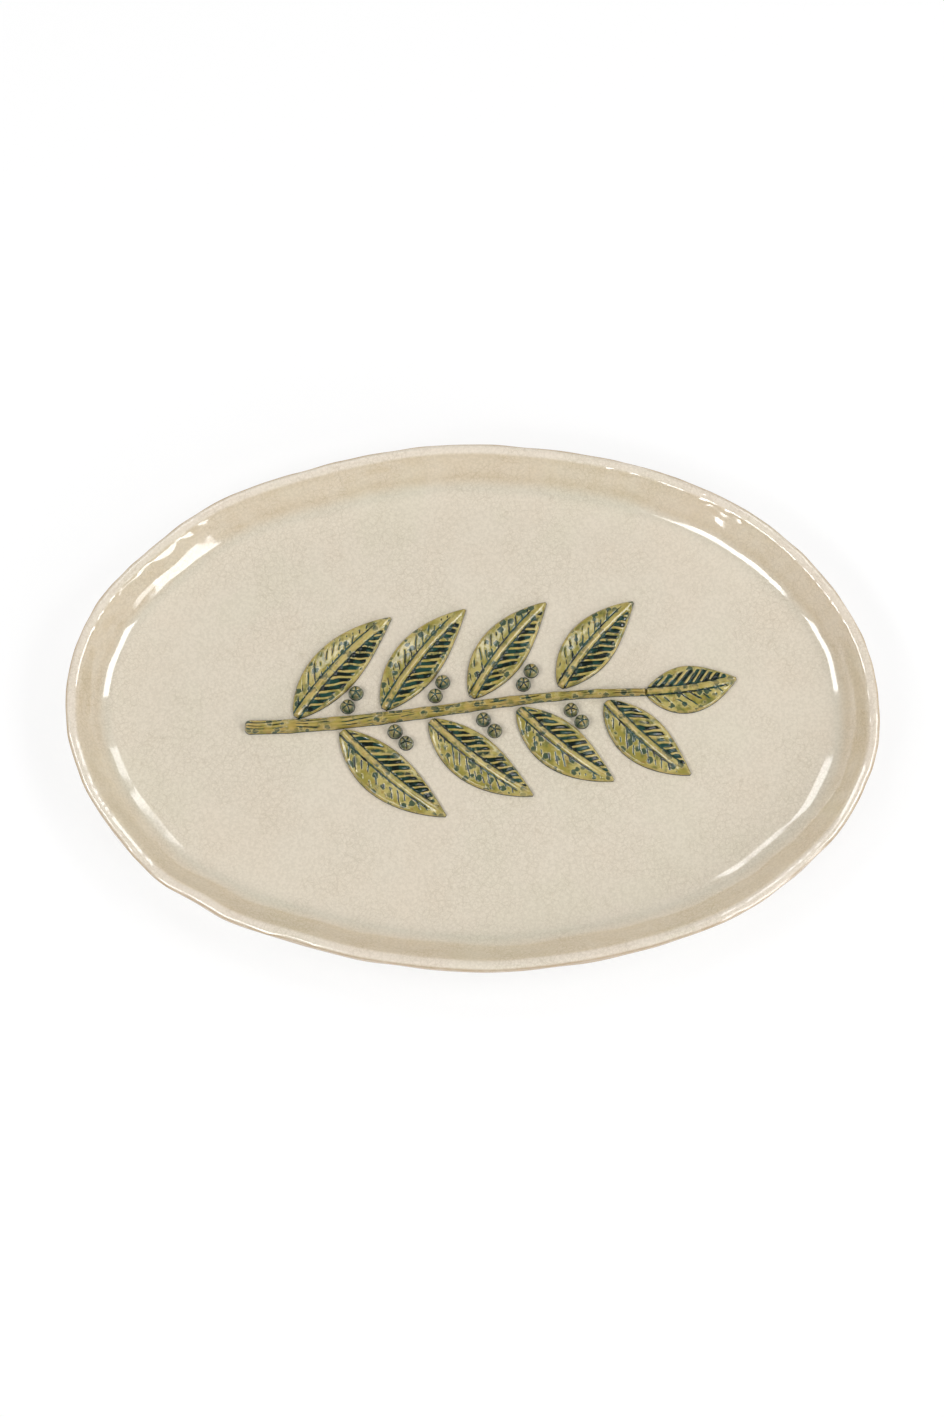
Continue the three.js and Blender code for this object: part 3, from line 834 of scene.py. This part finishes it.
leaf_glaze = branch_glaze("leaf_glaze", OLIVE, PALE_OLIVE, GREY_GREEN, SPOTTING)
stalk_seat = STEM_WIDTH / 2 + SLIP_JOINT + STALK_WIDTH / 2 * math.cos(LEAF_TILT)
stalk_seat /= math.sin(LEAF_TILT)
for index in range(SIDE_LEAVES):
    side = 1 if index % 2 == 0 else -1
    foot, stem_heading = on_stem(BARE_STEM + index * LEAF_STEP)
    heading = stem_heading + side * LEAF_TILT
    base = along(foot, heading, stalk_seat)
    leaf = leaf_strip(base, heading, LEAF_LENGTH - index * LEAF_SHRINK, side * LEAF_BEND, index)
    make_piece(leaf, f"veined_leaf_{index + 1}", leaf_glaze, "leaf_glaze", f"leaf_{index + 1}")

stem_tip, tip_heading = on_stem(stem_marks[-1])
tip_base = along(stem_tip, tip_heading, SLIP_JOINT)
tip_leaf = leaf_strip(tip_base, tip_heading, END_LEAF_LENGTH, -LEAF_BEND, SIDE_LEAVES)
make_piece(tip_leaf, "veined_end_leaf", leaf_glaze, "leaf_glaze", "end_leaf")

# Berries
# Balls of clay pressed down between the leaves, luted with slip and scored from the top into five segments.
# Dark teal glaze gathers in the scores and round the foot, and the tops break to olive and ochre.
BERRY_OLIVE = (0.20, 0.20, 0.085)
BERRY_TEAL = (0.045, 0.085, 0.062)
BERRY_SPOTTING = 0.3
BERRY_STEPS = 80
BERRY_EDGE = 0.3 * MM
BERRY_FOOT = 0.4 * MM
BERRY_FOOT_ROUNDING = 0.3 * MM
BERRY_SHOULDER_RADIUS = 0.98  # this and the next four are shares of the berry's radius or height
BERRY_SHOULDER_HEIGHT = 0.72
BERRY_SHOULDER_ROUNDING = 0.45
BERRY_CROWN_RADIUS = 0.5
BERRY_CROWN_ROUNDING = 0.35
BERRY_SCORE_START = 0.25  # shares of the height over which the scores deepen
BERRY_SCORE_FULL = 0.6
BERRY_OCHRE_START = 0.95  # shares of the radius over which the top breaks to ochre
BERRY_OCHRE_FULL = 0.3
BERRY_OCHRE = 0.8
BERRY_SCORE_POOL = 0.9
BERRY_POOL = (1.5 * MM, 0.6 * MM)  # heights over which the glaze round the foot darkens
BERRY_SCORES = 5
BERRY_SCORE_WIDTH = 0.42 * MM
BERRY_SCORE_DEPTH = 0.4 * MM
BERRY_TURN = 0.9  # radians by which each berry is turned against the one before


def berry_dome(low, high, turn):
    """Dome in the space of a berry's solid, with a flared foot and scores that run down from its top."""
    centre = (low + high) / 2
    radius = (high.x - low.x) / 2
    height = high.z - FLOOR
    corners = [
        (0, -SINK, 0),
        (radius + FOOT_FLARE, -SINK, 0),
        (radius, BERRY_FOOT, BERRY_FOOT_ROUNDING),
        (radius * BERRY_SHOULDER_RADIUS, height * BERRY_SHOULDER_HEIGHT, height * BERRY_SHOULDER_ROUNDING),
        (radius * BERRY_CROWN_RADIUS, height, radius * BERRY_CROWN_ROUNDING),
        (0, height, 0),
    ]
    dome = spin_line(rounded_line(corners), BERRY_EDGE, BERRY_STEPS)
    pool = dome.verts.layers.float.new("pool")
    ridge = dome.verts.layers.float.new("ridge")
    for vert in dome.verts:
        out = math.hypot(vert.co.x, vert.co.y)
        place = (math.atan2(vert.co.y, vert.co.x) + turn) * BERRY_SCORES / (2 * math.pi)
        off = abs(place - round(place)) * 2 * math.pi / BERRY_SCORES * out
        top = smooth_share(BERRY_SCORE_START * height, BERRY_SCORE_FULL * height, vert.co.z)
        score = math.exp(-((off / BERRY_SCORE_WIDTH) ** 2)) * top
        vert[pool] = max(BERRY_SCORE_POOL * score, smooth_share(*BERRY_POOL, vert.co.z))
        inner = smooth_share(BERRY_OCHRE_START * radius, BERRY_OCHRE_FULL * radius, out)
        vert[ridge] = BERRY_OCHRE * top * (1 - score) * inner
        vert.co.z -= BERRY_SCORE_DEPTH * score
        vert.co += Vector((centre.x, centre.y, FLOOR))
    return dome


berry_glaze = branch_glaze("berry_glaze", BERRY_TEAL, BERRY_OLIVE, GREY_GREEN, BERRY_SPOTTING)
berries = sorted(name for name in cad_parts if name.startswith("berry_"))
for index, node in enumerate(berries):
    berry = berry_dome(*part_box(node), index * BERRY_TURN)
    make_piece(berry, f"pressed_{node}", berry_glaze, "berry_glaze", node)

# Floor, lights and camera
# A plain white floor in a white room, with soft lamps at the sides, the front corners and the back.
# The camera looks down at the plate from in front.
FLOOR_SIZE = 8
FLOOR_DROP = 0.1 * MM  # keeps the floor clear of the foot ring
FLOOR_GREY = 0.96
WHITE_SHARE = 0.75  # how much of the floor is plain white to the eye; the rest takes light and shadow
SHADOW_REACH = 0.4  # past this distance from the plate's middle the floor fades to plain white
ROOM_WHITE = 1.0
ROOM_CEILING = 0.1
CEILING_RISE = (0.05, 0.45)  # sines of the height above the horizon over which the room gets dimmer
LAMP_DISTANCE = 1.6
LAMP_BRIGHTNESS = 9.5
CAMERA_ELEVATION = 75
CAMERA_DISTANCE = 1.5
VIEW_HEIGHT = 0.7018  # height of the picture at the plate
SENSOR = 36
AIM = Vector((0, -0.0003, 0.015))

floor_mesh = bmesh.new()
bmesh.ops.create_grid(floor_mesh, x_segments=1, y_segments=1, size=FLOOR_SIZE / 2)
bmesh.ops.translate(floor_mesh, verts=floor_mesh.verts, vec=(0, 0, -FLOOR_DROP))
floor_data = bpy.data.meshes.new("white_floor")
floor_mesh.to_mesh(floor_data)
floor_mesh.free()
floor_material, floor_tree, floor_shader, floor_place = start_material("white_floor")
floor_tree.nodes.remove(floor_shader)
rays = add_node(floor_tree, "LightPath", {})
seen = work_out(floor_tree, "MAXIMUM", rays.outputs["Is Camera Ray"], rays.outputs["Is Glossy Ray"])
seen = work_out(floor_tree, "MAXIMUM", seen, rays.outputs["Is Transmission Ray"])
lit = add_node(floor_tree, "BsdfDiffuse", {"Color": (FLOOR_GREY, FLOOR_GREY, FLOOR_GREY, 1)})
white = add_node(floor_tree, "Emission", {"Color": (1, 1, 1, 1), "Strength": 1.0})
distance = add_node(floor_tree, "VectorMath", {0: floor_place}, operation="LENGTH").outputs["Value"]
white_share = rise(floor_tree, distance, SHADOW_REACH, FLOOR_SIZE / 4, WHITE_SHARE, 1.0)
shares = {0: work_out(floor_tree, "MULTIPLY", seen, white_share), 1: lit.outputs[0], 2: white.outputs[0]}
surface = add_node(floor_tree, "MixShader", shares)
floor_tree.links.new(surface.outputs[0], floor_tree.nodes["Material Output"].inputs["Surface"])
floor_data.materials.append(floor_material)
white_floor = bpy.data.objects.new("white_floor", floor_data)
bpy.context.scene.collection.objects.link(white_floor)

# The room is white near the floor and dimmer overhead, so the glaze stays deep where it mirrors the ceiling
world = bpy.data.worlds.new("studio")
world.use_nodes = True
world_tree = world.node_tree
direction = add_node(world_tree, "TexCoord", {}).outputs["Generated"]
overhead = rise(world_tree, upright_part(world_tree, direction), *CEILING_RISE)
room = mix_colours(world_tree, overhead, (ROOM_WHITE,) * 3, (ROOM_CEILING,) * 3)
world_tree.links.new(room, world_tree.nodes["Background"].inputs["Color"])
bpy.context.scene.world = world


def softbox(name, azimuth, lift, wide, high, strength=1.0, lean=0, mirrored=True):
    """Rectangular lamp that faces the plate. Its azimuth about +Z, its lift above the floor and how wide
    and high it looks from the plate are in degrees; its strength is a share of the full brightness.
    A leaning lamp is turned by so many degrees in its own plane, its top towards the larger azimuth.
    A lamp that is not mirrored lights the plate without a highlight of its own."""
    width = 2 * LAMP_DISTANCE * math.tan(math.radians(wide / 2))
    height = 2 * LAMP_DISTANCE * math.tan(math.radians(high / 2))
    lamp_data = bpy.data.lights.new(name, "AREA")
    lamp_data.shape = "RECTANGLE"
    lamp_data.size = width
    lamp_data.size_y = height
    lamp_data.energy = LAMP_BRIGHTNESS * strength * math.pi * width * height
    lamp = bpy.data.objects.new(name, lamp_data)
    lamp.visible_glossy = mirrored
    bpy.context.scene.collection.objects.link(lamp)
    round_z = math.radians(azimuth)
    above = math.radians(lift)
    level = math.cos(above)
    away = Vector((level * math.cos(round_z), level * math.sin(round_z), math.sin(above)))
    lamp.location = away * LAMP_DISTANCE
    upright = away.to_track_quat("Z", "Y")
    lamp.rotation_euler = (upright @ Quaternion((0, 0, 1), math.radians(-lean))).to_euler()


softbox("right_softbox", 0, 48, 27, 15, 0.85)
softbox("right_front_softbox", -43, 28.5, 13, 30, 0.75)
softbox("right_low_softbox", -34, 19, 9, 12, 0.5)
softbox("right_back_softbox", 48.5, 47.5, 5.5, 22, 0.43, lean=19)
softbox("back_right_softbox", 60.3, 44.5, 4.8, 24, 0.5, lean=17)
softbox("left_softbox", 182, 47, 25, 13, 0.9)
softbox("left_front_softbox", -133, 52, 21, 12)
softbox("left_low_softbox", -124, 9, 4.5, 8)
softbox("left_back_softbox", 121, 54, 11, 19, 0.5, lean=-40)
softbox("back_left_softbox", 101.6, 53.5, 3.2, 14, 0.5, lean=-22)
softbox("back_fill", 90, 45, 50, 30, 0.04, mirrored=False)

camera_data = bpy.data.cameras.new("camera")
camera_data.sensor_width = SENSOR
camera_data.lens = SENSOR * CAMERA_DISTANCE / VIEW_HEIGHT
camera = bpy.data.objects.new("camera", camera_data)
bpy.context.scene.collection.objects.link(camera)
elevation = math.radians(CAMERA_ELEVATION)
towards_camera = Vector((0, -math.cos(elevation), math.sin(elevation)))
camera.location = AIM + towards_camera * CAMERA_DISTANCE
camera.rotation_euler = towards_camera.to_track_quat("Z", "Y").to_euler()
bpy.context.scene.camera = camera
bpy.context.scene.view_settings.view_transform = "Standard"
